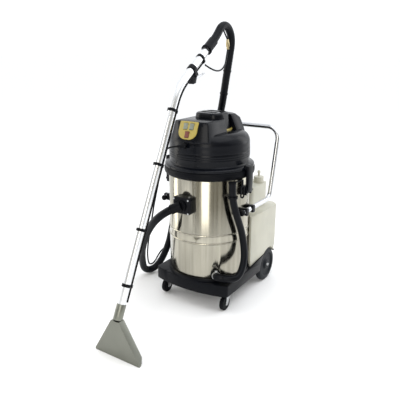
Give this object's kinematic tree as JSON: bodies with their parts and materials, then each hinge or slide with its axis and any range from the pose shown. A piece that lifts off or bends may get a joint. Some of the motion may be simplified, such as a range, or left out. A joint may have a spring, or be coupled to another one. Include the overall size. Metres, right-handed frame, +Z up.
{
  "type": "carpet cleaner machine",
  "caption": "Wheeled wet-extraction carpet cleaner: steel recovery tank, lift-off motor head, rear solution tank, push handle, hoses and floor wand.",
  "frame": {"origin": "middle of the footprint box of the machine and wand, on the floor, measured without the free hoses and cord", "axes": "+Z up, -Y towards the wand's nozzle and the switch panel, +X to the side of the drain hose"},
  "size_m": [0.7425, 1.4203, 1.4866],
  "materials": {
    "trolley_plastic": "moulded charcoal plastic, fine texture",
    "zinc_steel": "zinc plated",
    "tank_steel": "polished stainless sheet",
    "black_rubber": "black rubber",
    "black_plastic": "moulded black plastic",
    "hose_black": "ribbed black hose",
    "hose_thin": "thin black hose",
    "cord_black": "black sheathed cord",
    "tank_cream": "natural polyethylene",
    "cap_cream": "natural polyethylene",
    "handle_steel": "chromed tube",
    "head_black": "satin black moulding",
    "motor_metal": "cast shells",
    "panel_yellow": "golden yellow moulding",
    "rocker_green": "dark green rocker",
    "rocker_red": "dark red rocker",
    "wand_steel": "polished stainless tube",
    "nozzle_metal": "cast and blasted",
    "brass_fitting": "brass",
    "trigger_steel": "steel",
    "wheel_plastic": "solid rubber on a plastic hub"
  },
  "bodies": {
    "root": {"arm_caps": "black_rubber", "base_trolley": "trolley_plastic", "cord_coil": "cord_black", "cord_plug": "black_rubber", "drain_clamp": "zinc_steel", "drain_hook": "black_plastic", "drain_hose": "hose_black", "drain_outlet": "black_plastic", "drain_plug": "black_rubber", "handle_brackets": "black_plastic", "hose_coupler": "brass_fitting", "hose_cuff": "black_rubber", "hose_ties": "black_plastic", "inlet_deflector": "tank_steel", "inlet_housing": "black_plastic", "inlet_screws": "zinc_steel", "latch_mounts": "black_plastic", "nozzle": "nozzle_metal", "nozzle_collar": "nozzle_metal", "power_cord": "cord_black", "push_handle": "handle_steel", "rear_axle": "zinc_steel", "recovery_tank": "tank_steel", "rim_bumper": "black_rubber", "solution_hose": "hose_thin", "solution_pipe": "black_rubber", "solution_pump": "black_plastic", "solution_tank": "tank_cream", "spray_jet": "brass_fitting", "suction_hose": "hose_black", "supply_hose": "hose_thin", "supply_pipe": "black_rubber", "tank_gasket": "black_rubber", "valve_body": "black_plastic", "wand_clips": "black_plastic", "wand_cuff": "black_rubber", "wand_tube": "wand_steel"},
    "head": {"head_housing": "head_black", "motor_plate": "black_plastic", "vacuum_motors": "motor_metal", "float_cage": "tank_cream", "head_dome": "head_black", "switch_panel": "panel_yellow", "top_cap": "head_black", "exhaust_cover": "head_black", "cord_gland": "black_rubber"},
    "float_ball": {"float_ball": "tank_cream"},
    "solution_cap": {"solution_cap": "cap_cream"},
    "latch_right": {"latch_right": "black_plastic"},
    "latch_left": {"latch_left": "black_plastic"},
    "trigger_lever": {"trigger_lever": "trigger_steel"},
    "caster_fork_right": {"caster_fork_right": "zinc_steel"},
    "caster_fork_left": {"caster_fork_left": "zinc_steel"},
    "caster_wheel_right": {"caster_wheel_right": "black_rubber"},
    "caster_wheel_left": {"caster_wheel_left": "black_rubber"},
    "rear_wheel_right": {"rear_wheel_right": "wheel_plastic"},
    "rear_wheel_left": {"rear_wheel_left": "wheel_plastic"},
    "rocker_upper_left": {"rocker_upper_left": "rocker_green"},
    "rocker_upper_right": {"rocker_upper_right": "rocker_green"},
    "rocker_lower": {"rocker_lower": "rocker_red"}
  },
  "joints": [
    {"name": "head_lift", "type": "slide", "parent": "root", "child": "head", "axis": [0, 0, 1], "range_m": [0, 0.15]},
    {"name": "float_travel", "type": "slide", "parent": "head", "child": "float_ball", "axis": [0, 0, 1], "range_m": [0, 0.02]},
    {"name": "latch_right_hinge", "type": "hinge", "parent": "root", "child": "latch_right", "pos_m": [0.253, 0.161, 0.652], "axis": [0, 1, 0], "range_deg": [0, 76]},
    {"name": "latch_left_hinge", "type": "hinge", "parent": "root", "child": "latch_left", "pos_m": [-0.253, 0.161, 0.652], "axis": [0, -1, 0], "range_deg": [0, 76]},
    {"name": "solution_cap_lift", "type": "slide", "parent": "root", "child": "solution_cap", "axis": [0, 0, 1], "range_m": [0, 0.09]},
    {"name": "trigger_pull", "type": "hinge", "parent": "root", "child": "trigger_lever", "pos_m": [0, 0.03259, 1.21131], "axis": [1, 0, 0], "range_deg": [0, 14], "stiffness_Nm_per_rad": 0.6, "springref_deg": -11.46},
    {"name": "rocker_upper_left_tilt", "type": "hinge", "parent": "head", "child": "rocker_upper_left", "pos_m": [-0.017, -0.00805, 0.98086], "axis": [1, 0, 0], "range_deg": [0, 14]},
    {"name": "rocker_upper_right_tilt", "type": "hinge", "parent": "head", "child": "rocker_upper_right", "pos_m": [0.019, -0.00805, 0.98086], "axis": [1, 0, 0], "range_deg": [0, 14]},
    {"name": "rocker_lower_tilt", "type": "hinge", "parent": "head", "child": "rocker_lower", "pos_m": [0.001, -0.02562, 0.94271], "axis": [1, 0, 0], "range_deg": [0, 14]},
    {"name": "caster_right_swivel", "type": "hinge", "parent": "root", "child": "caster_fork_right", "pos_m": [0.193, 0.057, 0.105], "axis": [0, 0, 1], "continuous": true},
    {"name": "caster_right_roll", "type": "hinge", "parent": "caster_fork_right", "child": "caster_wheel_right", "pos_m": [0.193, 0.033, 0.04], "axis": [1, 0, 0], "continuous": true},
    {"name": "rear_right_roll", "type": "hinge", "parent": "root", "child": "rear_wheel_right", "pos_m": [0.206, 0.486, 0.1], "axis": [1, 0, 0], "continuous": true},
    {"name": "caster_left_swivel", "type": "hinge", "parent": "root", "child": "caster_fork_left", "pos_m": [-0.193, 0.057, 0.105], "axis": [0, 0, 1], "continuous": true},
    {"name": "caster_left_roll", "type": "hinge", "parent": "caster_fork_left", "child": "caster_wheel_left", "pos_m": [-0.193, 0.033, 0.04], "axis": [1, 0, 0], "continuous": true},
    {"name": "rear_left_roll", "type": "hinge", "parent": "root", "child": "rear_wheel_left", "pos_m": [-0.206, 0.486, 0.1], "axis": [1, 0, 0], "continuous": true}
  ],
  "couplings": [
    {"joint": "latch_right_hinge", "follows": "head_lift", "rad_per_m": 8.7266},
    {"joint": "latch_left_hinge", "follows": "head_lift", "rad_per_m": 8.7266}
  ]
}
